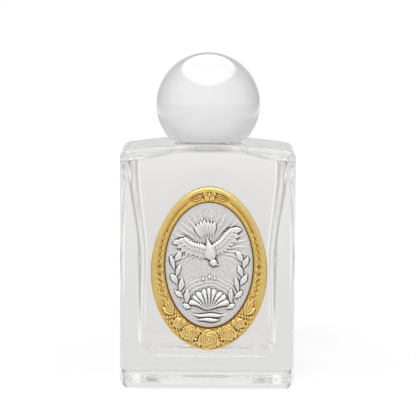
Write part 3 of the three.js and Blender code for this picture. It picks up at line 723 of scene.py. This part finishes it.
def plaque_frame():
    profile = [(across, FRAME_CREST - share * FRAME_DEPTH) for across, share in FRAME_PROFILE]
    lip = [(LIP_PLACE, PLATE_TOP + 2 * LIP_EDGE), (1.0, PLATE_TOP + LIP_EDGE)]
    face = spline(profile + lip, 6)
    turns = turn_steps(FRAME_STEPS)
    angle = np.radians(turns)[:, None]
    across = face[:, 0][None, :]
    u, v = frame_points(angle, across)
    plain = np.broadcast_to(face[:, 1][None, :], u.shape)
    hollow = hollow_share(turns[:, None], across)
    plain = plain - hollow * np.maximum(plain - (FRAME_CREST - HOLLOW_DEPTH * FRAME_DEPTH), 0)
    ornament = np.maximum(garland_rise(u, v), crown_rise(u, v))
    w = np.where(ornament > 0.02, np.maximum(plain, FRAME_FACE + ornament), plain)
    low_ornament = np.maximum(foliage_rise(turns[:, None], across), tendril_rise(u, v))
    w = np.maximum(w, plain + low_ornament)
    # The recess paints shade into the frame's hollows, and the term at the inner rim paints a dark line along
    # the opening, partly shadow and partly toned lacquer
    recess = blur(w, 4, wraps=True) - w + 0.2 * smoothstep(across, 0.88, 0.97)
    half_u, half_v = OPENING_HALF + REBATE_WIDTH
    rebate = (half_u * np.cos(angle), half_v * np.sin(angle) + OPENING_RISE)
    opening, inset, edge = (frame_points(angle, np.full_like(angle, share)) for share in (1, 0.02, 0))
    behind = [
        (opening, PLATE_TOP), (rebate, PLATE_TOP), (rebate, FRAME_BACK),
        (inset, FRAME_BACK), (edge, FRAME_BACK + 0.1),
    ]
    rings = [plaque_points(*place, np.full_like(angle, depth)) for place, depth in behind]
    rings = np.concatenate([plaque_points(u, v, w), *rings], axis=1)
    points, faces = skin(rings)
    piece = make_piece("plaque_gilt_frame", points, faces, "bottle", gilt_metal(), 60)
    add_recess(piece, np.pad(recess, ((0, 0), (0, len(behind)))))
    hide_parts("plaque_frame")


# Relief: places are shares of the opening's half width and half height, widths of its half width

RELIEF_UNIT = OPENING_HALF - OPENING_MARGIN

# Body, head and beak of the dove, as leaf-like forms: root, tip, width, height and options
DOVE_BODY = (
    ((0, 0.47), (0, 0.04), 0.3, 1.1, {"fullest": 0.6}),
    ((0.0, 0.12), (0.04, -0.03), 0.17, 1.05, {"fullest": 0.55}),
    ((0.05, 0.03), (0.14, -0.03), 0.05, 0.8, {"fullest": 0.35}),
)
DOVE_MIDDLE = 0.3
DOVE_LEAN = 0.2
DOVE_SHOULDER = (0.06, 0.33)
DOVE_WRIST = (0.44, 0.51)
WING_FEATHERS = 10
# Rows of wing feathers: length as a share of the longest row, width and height
FEATHER_ROWS = ((1.0, 0.14, 0.55), (0.68, 0.13, 0.75), (0.38, 0.12, 0.95))
DROPS = ((0, -0.13), (-0.13, -0.17), (0.13, -0.17))
# Long waves under the shell: height of their place and half their length
WAVES = ((-0.82, 0.42), (-0.9, 0.3))
SHELL_HINGE = (0.0, -0.74)
SHELL_RADIUS = 0.5
SHELL_RIBS = 9
SHELL_FAN = 148.0
SPRIG_LEAVES = 8
SPRIG_RADIUS = 0.82
SPRIG_LEAN = math.radians(13)
SPRIG_TIPS = (0.93, 0.68)
RAYS = 34
RAY_HEIGHT = 0.13
RIPPLE = 0.085
RIPPLE_HEIGHT = 0.1
STIPPLE_HEIGHT = 0.014
WAVER = 0.14


def relief_place(place):
    return place[0] * RELIEF_UNIT[0], place[1] * RELIEF_UNIT[1] + OPENING_RISE


def dove_forms():
    """A dove that comes down with spread wings: body, turned head, beak, tail and three rows of feathers."""
    forms = list(DOVE_BODY)
    barbed = {"vein": 0.3, "barbs": 0.5}
    for feather in range(-3, 4):
        tip = (feather * 0.085, 0.76 - abs(feather) * 0.025)
        forms.append(((feather * 0.02, 0.36), tip, 0.12, 0.6, {"fullest": 0.74, **barbed}))
    for side in (-1, 1):
        for length, width, height in FEATHER_ROWS:
            for feather in range(WING_FEATHERS):
                share = feather / (WING_FEATHERS - 1)
                root_u, root_v = (lerp(*ends, share) for ends in zip(DOVE_WRIST, DOVE_SHOULDER))
                angle = math.radians(lerp(-4, -96, share ** 0.8))
                reach = lerp(0.42, 0.3, share) * length
                root = (side * root_u, root_v)
                tip = (root[0] + side * reach * math.cos(angle), root[1] + reach * 0.78 * math.sin(angle))
                forms.append((root, tip, width, height, {"bend": -side * 0.06, "fullest": 0.64, **barbed}))
    return [(dove_place(root), dove_place(tip), *rest) for root, tip, *rest in forms]


def dove_place(place):
    """The place after the dove is leant over to one side about its middle."""
    u, v = place[0] * RELIEF_UNIT[0], (place[1] - DOVE_MIDDLE) * RELIEF_UNIT[1]
    cosine, sine = math.cos(DOVE_LEAN), math.sin(DOVE_LEAN)
    return (u * cosine - v * sine) / RELIEF_UNIT[0], (u * sine + v * cosine) / RELIEF_UNIT[1] + DOVE_MIDDLE


def relief_leaves():
    """Root, tip, width, height and options of every leaf-like form of the relief."""
    forms = dove_forms()
    for side in (-1, 1):
        for step in range(SPRIG_LEAVES):
            turn = math.radians(lerp(-60, 4, step / (SPRIG_LEAVES - 1)))
            reach, lean = SPRIG_TIPS[step % 2], turn + SPRIG_LEAN
            root = (side * SPRIG_RADIUS * math.cos(turn), SPRIG_RADIUS * math.sin(turn))
            tip = (side * reach * math.cos(lean), reach * math.sin(lean) + 0.03)
            forms.append((root, tip, 0.13, 0.55, {"vein": 0.35}))
    for u, v in DROPS:
        forms.append(((u, v), (u, v - 0.09), 0.075, 0.6, {"fullest": 0.64}))
    for v, half in WAVES:
        forms.append(((-half, v), (half, v), 0.09, 0.45, {"bend": -0.03}))
    return forms


def shell_rise(u, v):
    """A scallop shell: a fan of rounded ribs that falls off at its scalloped edge."""
    reach, angle = about(u, v, relief_place(SHELL_HINGE), SHELL_RADIUS * RELIEF_UNIT[0])
    angle = np.degrees(angle) - 90
    crest = np.abs(np.sin(math.pi * (angle / SHELL_FAN + 0.5) * SHELL_RIBS))
    edge = 0.96 + 0.08 * crest
    body = np.sin(math.pi * np.clip(reach / edge, 0, 1) ** 1.4) ** 0.5
    growth = 1 - 0.06 * (0.5 + 0.5 * np.cos(reach * 34))
    rise = RELIEF_HEIGHT * body * (0.45 + 0.5 * crest) * growth
    return np.where((np.abs(angle) < SHELL_FAN / 2) & (reach < edge), rise, 0)


def ground_rise(u, v):
    """Low rays that spread from behind the dove, and ripples of water about the shell."""
    reach, angle = about(u, v, relief_place((0, DOVE_MIDDLE)), RELIEF_UNIT[0])
    rays = np.clip(1.5 * np.cos(RAYS * angle) - 0.5, 0, 1) * smoothstep(v, 1, 4)
    rays = rays * smoothstep(reach, 0.3, 0.5) * fade(reach, 0.72, 1.0)
    away, _ = about(u, v, relief_place(SHELL_HINGE), RELIEF_UNIT[0])
    ripples = np.clip(1.3 * np.cos(2 * math.pi * away / RIPPLE) - 0.3, 0, 1) * fade(v, -4, -1)
    ripples = ripples * smoothstep(away, 0.5, 0.56) * fade(away, 0.78, 0.92)
    return RAY_HEIGHT * rays + RIPPLE_HEIGHT * ripples


def stipple(shape):
    """Small uneven bumps all over, as of a surface that was punched by hand."""
    grid = blur(np.random.default_rng(11).random(shape), 1)
    return STIPPLE_HEIGHT * (grid - grid.mean()) / grid.std()


def relief_rise(u, v):
    forms = [shell_rise(u, v)]
    for root, tip, width, height, options in relief_leaves():
        sizes = (width * RELIEF_UNIT[0], height * RELIEF_HEIGHT)
        forms.append(leaf_rise(u, v, relief_place(root), relief_place(tip), *sizes, **options))
    return np.maximum.reduce(forms)


def relief_plate():
    """The plate is a square grid drawn into an oval, with a wall round it and a flat back."""
    steps = 280
    line = np.linspace(-1, 1, steps + 1)
    x, y = np.meshgrid(line, line, indexing="ij")
    half = OPENING_HALF + REBATE_WIDTH - CLEARANCE
    u = half[0] * x * np.sqrt(1 - y ** 2 / 2)
    v = half[1] * y * np.sqrt(1 - x ** 2 / 2) + OPENING_RISE
    out = np.hypot(u / OPENING_HALF[0], (v - OPENING_RISE) / OPENING_HALF[1])
    crown = PLATE_CROWN * np.clip(1 - (out * OPENING_HALF[0] / RELIEF_UNIT[0]) ** 2, 0, 1)
    inside = fade(out, 0.9, 0.97)
    bent_u = u + WAVER * np.sin(0.9 * v + 1.3 * u)
    bent_v = v + WAVER * np.sin(1.1 * u - 0.8 * v)
    ground = PLATE_TOP + crown + inside * ground_rise(bent_u, bent_v)
    rise = relief_rise(bent_u, bent_v)
    w = np.where(rise > 0, np.maximum(ground, RELIEF_SURFACE + rise), ground)
    w = w + stipple(u.shape) * inside * np.where(rise > 0, 0.35, 1)
    recess = (blur(w, 4) - w) + 0.15 * (blur(w, 15) - w)
    points = plaque_points(u, v, w).reshape(-1, 3)
    index = np.arange((steps + 1) ** 2).reshape(steps + 1, steps + 1)
    quads = np.stack([index[:-1, :-1], index[1:, :-1], index[1:, 1:], index[:-1, 1:]], axis=-1).reshape(-1, 4)
    loop = np.concatenate([index[:-1, 0], index[-1, :-1], index[:0:-1, -1], index[0, :0:-1]])
    back = np.vstack([points[loop], plaque_points(0.0, OPENING_RISE, 0.0)])
    back[:, 1] = BACKING_FRONT
    low = len(points) + np.arange(len(loop))
    wall = np.stack([np.roll(loop, -1), loop, low, np.roll(low, -1)], axis=-1)
    bottom = np.stack([np.roll(low, -1), low, np.full(len(loop), low[-1] + 1)], axis=-1)
    points, faces = np.vstack([points, back]), [quads, wall, bottom]
    piece = make_piece("plaque_relief", points, faces, "bottle", silver_metal(), 60)
    add_recess(piece, np.pad(recess.ravel(), (0, len(back))))
    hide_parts("relief_plate")


# Materials

class Graph:
    """The nodes of one material or of the world. Most calls add a node and return what comes out of it."""

    def __init__(self, tree):
        self.nodes, self.links = tree.nodes, tree.links

    def fill(self, node, inputs):
        """Sets inputs by name or number. A node's output is linked, and anything else is a value."""
        for name, value in inputs.items():
            socket = node.inputs[name]
            if isinstance(value, bpy.types.NodeSocket):
                self.links.new(value, socket)
            else:
                socket.default_value = (*value, 1) if socket.type == "RGBA" else value

    def add(self, kind, output, inputs=None):
        node = self.nodes.new("ShaderNode" + kind)
        self.fill(node, inputs or {})
        return node.outputs[output]

    def axes(self, source):
        """The x, y and z of a texture coordinate."""
        split = self.nodes.new("ShaderNodeSeparateXYZ")
        self.fill(split, {"Vector": self.add("TexCoord", source)})
        return [split.outputs[name] for name in "XYZ"]

    def noise(self, scale, detail=4.0, roughness=0.55, upright=1.0):
        """A noise over the piece's own coordinates, in cycles per metre and a share of them upright."""
        place = {"Vector": self.add("TexCoord", "Object"), "Scale": (1, 1, upright)}
        place = self.add("Mapping", "Vector", place)
        inputs = {"Vector": place, "Scale": scale, "Detail": detail, "Roughness": roughness}
        return self.add("TexNoise", "Fac", inputs)

    def ramp(self, source, stops):
        """A ramp through colours, or through single values as greys, each at its place."""
        node = self.nodes.new("ShaderNodeValToRGB")
        elements = node.color_ramp.elements
        while len(elements) < len(stops):
            elements.new(0.5)
        for element, (place, colour) in zip(elements, stops):
            element.position = place
            element.color = (*np.broadcast_to(colour, 3), 1)
        self.fill(node, {"Fac": source})
        return node.outputs["Color"]

    def tone(self, source, first, second, spread=0.2):
        """From one colour or grey to another over the middle of a noise."""
        return self.ramp(source, [(0.5 - spread, first), (0.5 + spread, second)])

    def recess(self):
        node = self.nodes.new("ShaderNodeAttribute")
        node.attribute_name = "recess"
        return node.outputs["Fac"]

    def remap(self, source, low, high, to_low=0.0, to_high=1.0):
        inputs = {"Value": source, "From Min": low, "From Max": high, "To Min": to_low, "To Max": to_high}
        return self.add("MapRange", "Result", inputs)

    def maths(self, operation, *values):
        node = self.nodes.new("ShaderNodeMath")
        node.operation = operation
        self.fill(node, dict(enumerate(values)))
        return node.outputs[0]

    def mix(self, share, first, second):
        """A blend of two colours. Only its inputs 6 and 7 and its output 2 are colours."""
        node = self.nodes.new("ShaderNodeMix")
        node.data_type = "RGBA"
        self.fill(node, {0: share, 6: first, 7: second})
        return node.outputs[2]

    def by_ray(self, kind, other, this):
        """A shader for this kind of ray, and another for all others."""
        return self.add("MixShader", "Shader", {"Fac": self.add("LightPath", kind), 1: other, 2: this})

    def bump(self, shader, height, strength, distance):
        inputs = {"Height": height, "Strength": strength, "Distance": distance}
        self.fill(shader, {"Normal": self.add("Bump", "Normal", inputs)})


def new_material(name):
    material = bpy.data.materials.new(name)
    material.use_nodes = True
    graph = Graph(material.node_tree)
    return material, graph, graph.nodes["Principled BSDF"]


def clear_glass():
    """Clear glass, a little uneven, with soft upright streaks near the cavity's sides. It lets light through
    to what lies in its shadow."""
    material, graph, shader = new_material("clear_glass")
    tint = (0.99, 0.985, 0.978)
    graph.fill(shader, {"Base Color": tint, "Roughness": 0.0, "IOR": 1.5, "Transmission Weight": 1.0})
    uneven = graph.noise(60, detail=1.0, upright=0.35)
    sideways = graph.maths("ABSOLUTE", graph.axes("Object")[0])
    begins, ends = graph.remap(sideways, 0.0145, 0.018), graph.remap(sideways, 0.0245, 0.023)
    drawn = graph.noise(200, detail=0.0, upright=0.04)
    streaks = graph.maths("MULTIPLY", drawn, graph.maths("MULTIPLY", begins, ends))
    graph.bump(shader, graph.maths("MULTIPLY_ADD", streaks, 2.0, uneven), 0.25, 0.0004)
    clear = graph.add("BsdfTransparent", "BSDF", {"Color": (0.93, 0.94, 0.935)})
    surface = graph.by_ray("Is Shadow Ray", shader.outputs["BSDF"], clear)
    graph.fill(graph.nodes["Material Output"], {"Surface": surface})
    return material


def white_gloss():
    """White gloss under a clear coat, softly uneven."""
    material, graph, shader = new_material("white_gloss")
    colour = graph.tone(graph.noise(90, detail=2.0), (0.88, 0.88, 0.885), (0.91, 0.91, 0.91))
    rough = graph.tone(graph.noise(400), 0.1, 0.14, spread=0.15)
    inputs = {"Base Color": colour, "Roughness": rough, "Coat Weight": 1.0, "Coat Roughness": 0.14}
    graph.fill(shader, inputs)
    graph.bump(shader, graph.noise(700, detail=2.0), 0.03, 0.0001)
    return material


# Moulded plastic, celled foam, fibrous board, and a pad whose satin sheen keeps it pale behind the glass.
# Each has two colours and the scale, upright share and spread of the noise between them, then metallic,
# roughness, and the scale, strength and distance of its bump
PLAIN_FINISHES = {
    "white_plastic": ((0.78, 0.78, 0.77), (0.84, 0.84, 0.83), 250, 1.0, 0.2, 0.0, 0.42, 2500, 0.1, 0.00005),
    "liner_foam": ((0.8, 0.8, 0.77), (0.88, 0.88, 0.85), 1500, 1.0, 0.15, 0.0, 0.85, 4000, 0.3, 0.0001),
    "backing_board": ((0.74, 0.71, 0.64), (0.82, 0.8, 0.74), 900, 0.2, 0.15, 0.0, 0.8, 900, 0.2, 0.0001),
    "pad_foam": ((0.8, 0.8, 0.78), (0.9, 0.9, 0.88), 1200, 1.0, 0.15, 0.85, 0.55, 1200, 0.25, 0.0001),
}


def plain_finish(name):
    first, second, scale, upright, spread, metallic, rough, bumps, strength, distance = PLAIN_FINISHES[name]
    material, graph, shader = new_material(name)
    colour = graph.tone(graph.noise(scale, upright=upright), first, second, spread)
    graph.fill(shader, {"Base Color": colour, "Metallic": metallic, "Roughness": rough})
    graph.bump(shader, graph.noise(bumps, upright=upright), strength, distance)
    return material


def worn_and_shaded_metal(name, grain, stops, tones, rough, bumps):
    """A metal whose grained colour changes where it stands out and where it lies deep, as painted highlight
    and shade on the gilt and oxide on the silver.
    """
    material, graph, shader = new_material(name)
    colour = graph.ramp(graph.noise(*grain), stops)
    for low, high, tone in tones:
        colour = graph.mix(graph.remap(graph.recess(), low, high), colour, tone)
    scale, least, most = rough
    rough = graph.tone(graph.noise(scale), least, most)
    graph.fill(shader, {"Base Color": colour, "Metallic": 1.0, "Roughness": rough})
    scale, strength, distance = bumps
    graph.bump(shader, graph.noise(scale, detail=3.0), strength, distance)
    return material


def gilt_metal():
    """Satin gilt with a fine matt grain, a painted highlight on its high points, and painted shade in its
    recesses that is partly toned lacquer.
    """
    stops = [(0.3, (0.68, 0.46, 0.12)), (0.7, (0.84, 0.6, 0.2))]
    # Tones by depth: a painted highlight on raised points, painted shade partly of toned lacquer in hollows,
    # and painted near-black shade in the deepest creases
    high, deep, deepest_painted_shade = (0.97, 0.8, 0.4), (0.56, 0.28, 0.03), (0.16, 0.06, 0.01)
    tones = [(0.0, -0.07, high), (0.005, 0.06, deep), (0.07, 0.16, deepest_painted_shade)]
    return worn_and_shaded_metal("gilt_metal", (1100, 5.0, 0.65), stops, tones, (900, 0.3, 0.4), (5000, 0.12, 0.00005))


def silver_metal():
    """Satin silver, bright on its high points and oxidised dark in its recesses."""
    stops = [(0.32, (0.64, 0.63, 0.61)), (0.5, (0.78, 0.77, 0.75)), (0.68, (0.88, 0.87, 0.85))]
    tones = [(0.0, -0.08, (0.95, 0.945, 0.935)), (0.012, 0.12, (0.1, 0.1, 0.105))]
    return worn_and_shaded_metal("silver_metal", (1800, 5.0, 0.7), stops, tones, (1200, 0.38, 0.5), (3500, 0.35, 0.0001))


# Carried-over CAD nodes: only their finish is set

def dress_cad_nodes():
    finishes = {"liner_disc": "liner_foam", "plaque_backing": "backing_board", "adhesive_pad": "pad_foam"}
    for node, finish in finishes.items():
        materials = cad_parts[node].data.materials
        materials.clear()
        materials.append(plain_finish(finish))


# Floor and light. Bands are pairs of a place and a strength: the place is sideways on the floor, in metres,
# and in the tent it is the direction's x, without its sign, or its z

FLOOR_HALF = 6.0
FLOOR_GAP = 0.0001
FLOOR_BANDS = (
    (0.045, 1.0), (0.07, 1.28), (0.12, 0.72), (0.2, 0.68), (0.27, 1.28), (0.42, 0.74), (0.6, 0.52),
)
TENT_UPRIGHT = ((0.03, 0.72), (0.12, 0.6), (0.3, 0.4), (0.48, 0.42), (0.58, 1.0), (0.76, 1.0), (0.9, 0.42))
TENT_LEVEL = ((0.0, 0.45), (0.12, 0.6), (0.35, 0.62), (0.6, 0.9), (0.7, 1.0), (0.88, 1.0), (0.97, 0.4))
TENT_THROUGH = 2.3
TENT_BRIGHTEST = 1.7
LIGHT_BOUNCES = 48


def white_floor():
    """A white sweep just under the part. The part sees it glow in soft bands, and the camera sees a soft
    shadow on it."""
    corners = [(x * FLOOR_HALF, y * FLOOR_HALF, -FLOOR_GAP) for x, y in ((-1, -1), (1, -1), (1, 1), (-1, 1))]
    mesh = bpy.data.meshes.new("floor")
    mesh.from_pydata(corners, [], [(0, 1, 2, 3)])
    floor = bpy.data.objects.new("floor", mesh)
    bpy.context.scene.collection.objects.link(floor)
    material, graph, shader = new_material("floor")
    graph.nodes.remove(shader)
    matt = graph.add("BsdfDiffuse", "BSDF", {"Color": graph.tone(graph.noise(3), 0.44, 0.46)})
    lift = graph.add("Emission", "Emission", {"Strength": 0.68})
    seen = graph.add("AddShader", "Shader", {0: matt, 1: lift})
    x, y, _ = graph.axes("Object")
    away = graph.remap(y, 0.1, 0.6, 0.74, 0.85)
    aside = graph.ramp(graph.maths("ABSOLUTE", x), FLOOR_BANDS)
    glow = graph.add("Emission", "Emission", {"Strength": graph.maths("MULTIPLY", away, aside)})
    surface = graph.by_ray("Is Camera Ray", glow, seen)
    graph.fill(graph.nodes["Material Output"], {"Surface": surface})
    mesh.materials.append(material)


def studio_light():
    """A white tent, dimmer behind the part than in front, and darker still beside and above the backdrop.
    Through the glass it shows upright bands and a bright strip high up. The camera sees plain white."""
    bpy.context.scene.view_settings.view_transform = "Standard"
    world = bpy.data.worlds.new("tent")
    bpy.context.scene.world = world
    world.use_nodes = True
    graph = Graph(world.node_tree)
    graph.nodes.clear()
    x, y, z = graph.axes("Generated")
    sideways = graph.maths("ABSOLUTE", x)
    off_backdrop = graph.maths("MAXIMUM", graph.remap(sideways, 0.25, 0.55), graph.remap(z, 0.25, 0.4))
    panels = graph.maths("MULTIPLY", graph.remap(y, 0.0, 0.3), off_backdrop)
    front, back = graph.remap(z, 0.0, 1.0, 1.3, 0.95), graph.remap(y, -0.1, 0.2, 1.0, 0.68)
    walls = graph.maths("MULTIPLY", front, back)
    outside = graph.maths("MULTIPLY", walls, graph.remap(panels, 0.0, 1.0, 1.0, 0.5))
    bands = graph.maths("MULTIPLY", graph.ramp(sideways, TENT_UPRIGHT), graph.ramp(z, TENT_LEVEL))
    through = graph.maths("MINIMUM", graph.maths("MULTIPLY", bands, TENT_THROUGH), TENT_BRIGHTEST)
    direct = graph.maths("LESS_THAN", graph.add("LightPath", "Transmission Depth"), 0.5)
    strength = graph.add("Mix", "Result", {"Factor": direct, "A": through, "B": outside})
    tent = graph.add("Background", "Background", {"Strength": strength})
    plain = graph.add("Background", "Background", {"Color": (1, 1, 1)})
    output = graph.nodes.new("ShaderNodeOutputWorld")
    graph.fill(output, {"Surface": graph.by_ray("Is Camera Ray", tent, plain)})


def let_light_run():
    """Light is followed through as many faces of the glass as it meets, so that no edge turns black."""
    paths = bpy.context.scene.cycles
    paths.max_bounces = LIGHT_BOUNCES
    paths.glossy_bounces = LIGHT_BOUNCES
    paths.transmission_bounces = LIGHT_BOUNCES


def add_lamp(name, kind, energy):
    lamp = bpy.data.objects.new(name, bpy.data.lights.new(name, kind))
    lamp.data.energy = energy
    lamp.visible_transmission = False
    bpy.context.scene.collection.objects.link(lamp)
    return lamp


def overhead_softbox():
    """A wide lamp overhead that shines down. It adds only to what glossy surfaces mirror."""
    softbox = add_lamp("overhead", "AREA", 21.4)
    softbox.data.shape = "ELLIPSE"
    softbox.data.size, softbox.data.size_y = 1.7, 2.58
    softbox.location = (0, 0.33, 1.08)
    softbox.visible_diffuse = False
    softbox.visible_camera = False


def key_light():
    """A soft light from the upper left in front. It lights matt surfaces and casts the soft shadow."""
    sun = add_lamp("key", "SUN", 0.5)
    sun.data.angle = math.radians(12)
    sun.rotation_euler = Vector((0.3, 0.8, -1)).to_track_quat("-Z", "Y").to_euler()
    sun.visible_glossy = False


make_camera()
let_light_run()
glass_bottle()
cap_ball()
cap_sleeve()
plaque_frame()
relief_plate()
dress_cad_nodes()
white_floor()
studio_light()
overhead_softbox()
key_light()
